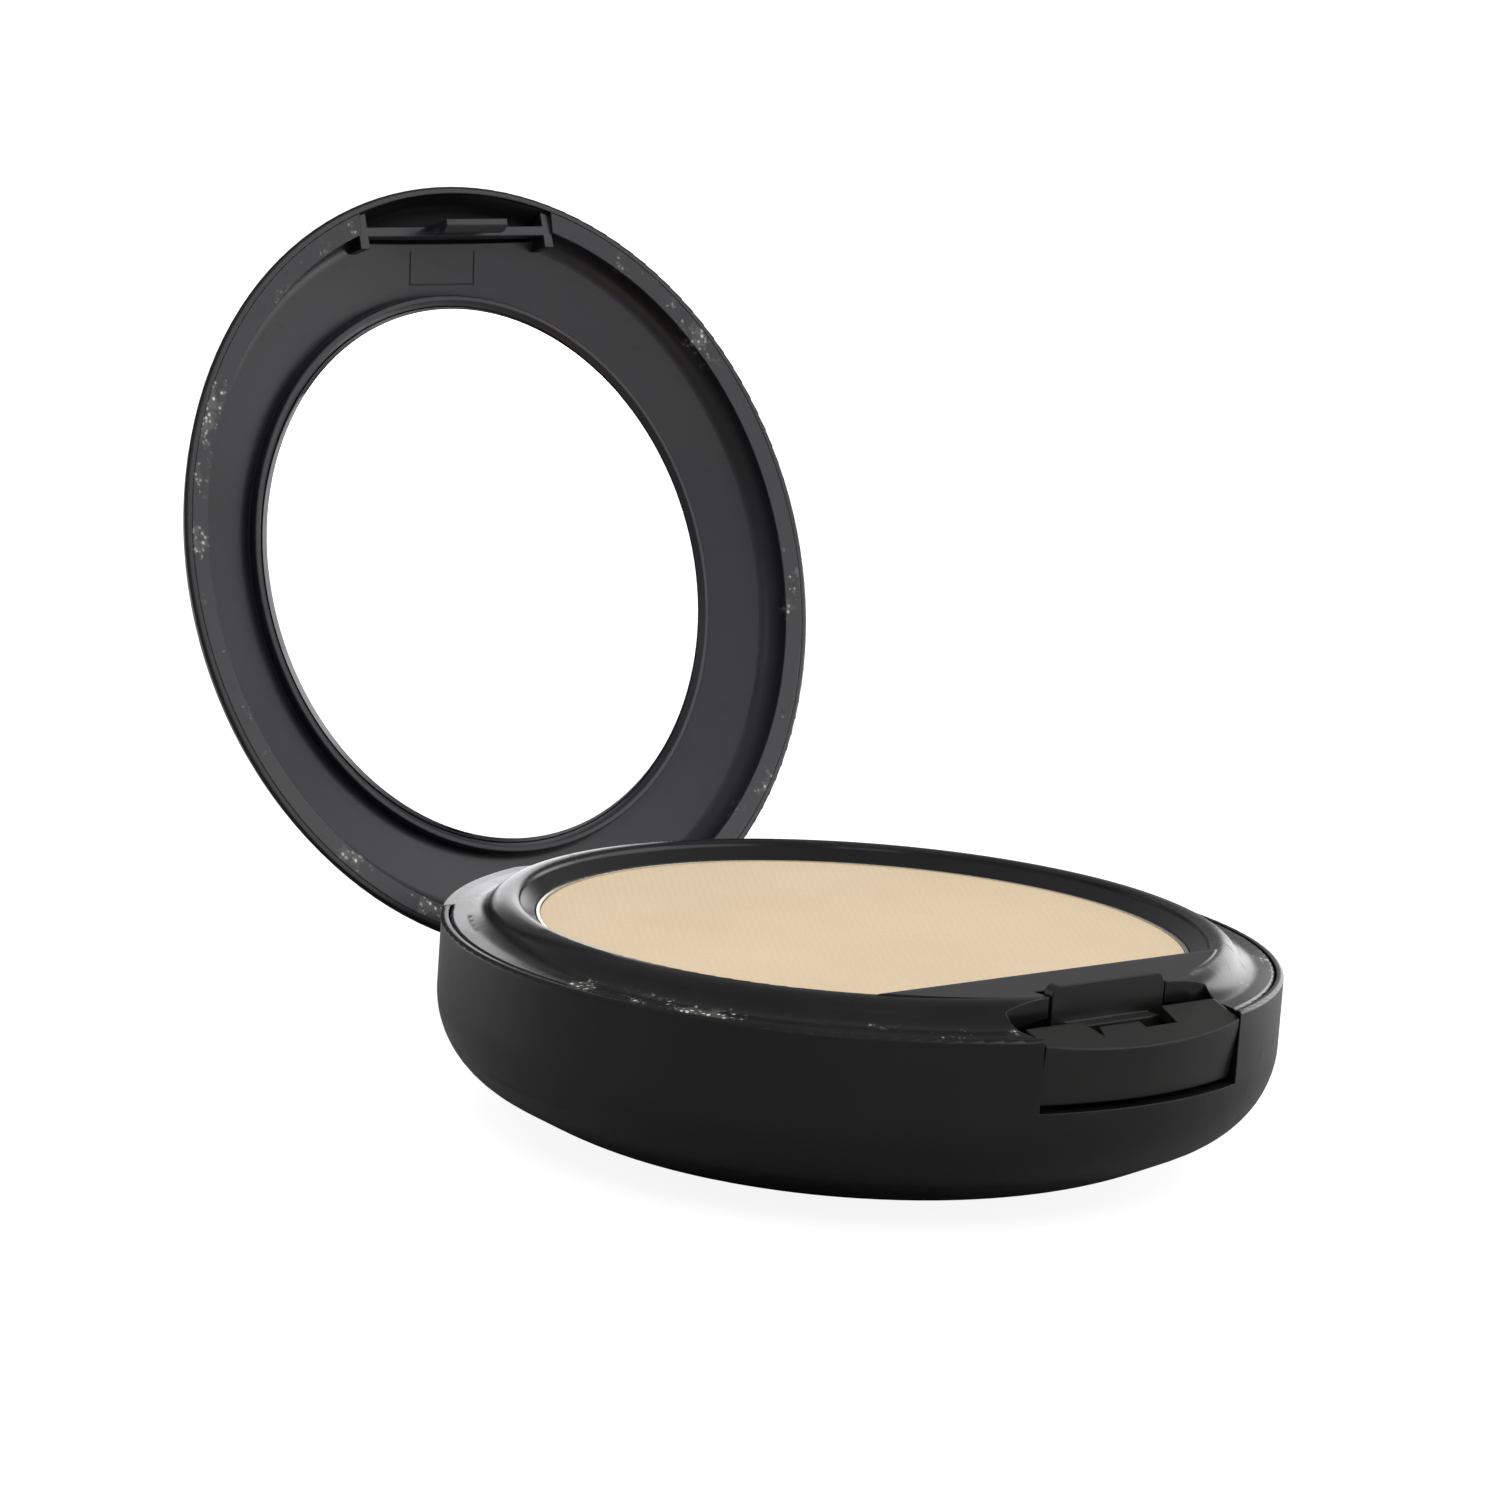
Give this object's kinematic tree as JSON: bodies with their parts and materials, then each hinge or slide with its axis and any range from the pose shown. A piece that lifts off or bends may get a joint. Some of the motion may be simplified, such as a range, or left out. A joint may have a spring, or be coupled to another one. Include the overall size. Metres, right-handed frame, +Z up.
{
  "type": "powder compact",
  "caption": "Round black powder compact: mirror lid held open on a rear hinge, D-shaped pressed powder in a lift-up tray over a sponge well, front push button.",
  "frame": {"origin": "centre of the flat foot under the base, on the surface the compact stands on", "axes": "+Z up, -Y towards the push button at the front, +Y towards the hinge at the back, +X to the right seen from the front"},
  "size_m": [0.076, 0.1087, 0.0788],
  "materials": {
    "case_black": "satin black moulded plastic",
    "tray_black": "polished black moulded plastic",
    "liner_black": "satin black moulded plastic",
    "button_black": "satin black moulded plastic",
    "mirror_glass": "silvered glass with a ground edge",
    "pan_tinplate": "bright tinplate",
    "powder_beige": "pressed powder with a fine woven imprint",
    "sponge_foam": "soft foam",
    "spring_steel": "bright steel",
    "tape_white": "double-sided tape",
    "label_grey": "blank printed label"
  },
  "bodies": {
    "base": {"base_shell": "case_black", "base_label": "label_grey", "sponge": "sponge_foam", "hinge_pin": "spring_steel", "button_spring": "spring_steel"},
    "tray": {"powder_tray": "tray_black", "pan": "pan_tinplate", "powder_cake": "powder_beige", "pan_adhesive": "tape_white"},
    "lid": {"lid_shell": "case_black", "lid_liner": "liner_black", "mirror": "mirror_glass", "mirror_tape": "tape_white"},
    "button": {"push_button": "button_black"}
  },
  "joints": [
    {"name": "tray_hinge", "type": "hinge", "parent": "base", "child": "tray", "pos_m": [0, 0.03575, 0.012], "axis": [-1, 0, 0], "range_deg": [0, 45]},
    {"name": "lid_hinge", "type": "hinge", "parent": "tray", "child": "lid", "pos_m": [0, 0.03575, 0.012], "axis": [-1, 0, 0], "range_deg": [-109.6, 0]},
    {"name": "button_slide", "type": "slide", "parent": "base", "child": "button", "axis": [0, 1, 0], "range_m": [0, 0.0008], "stiffness_N_per_m": 600, "deforming": ["button_spring"]}
  ]
}
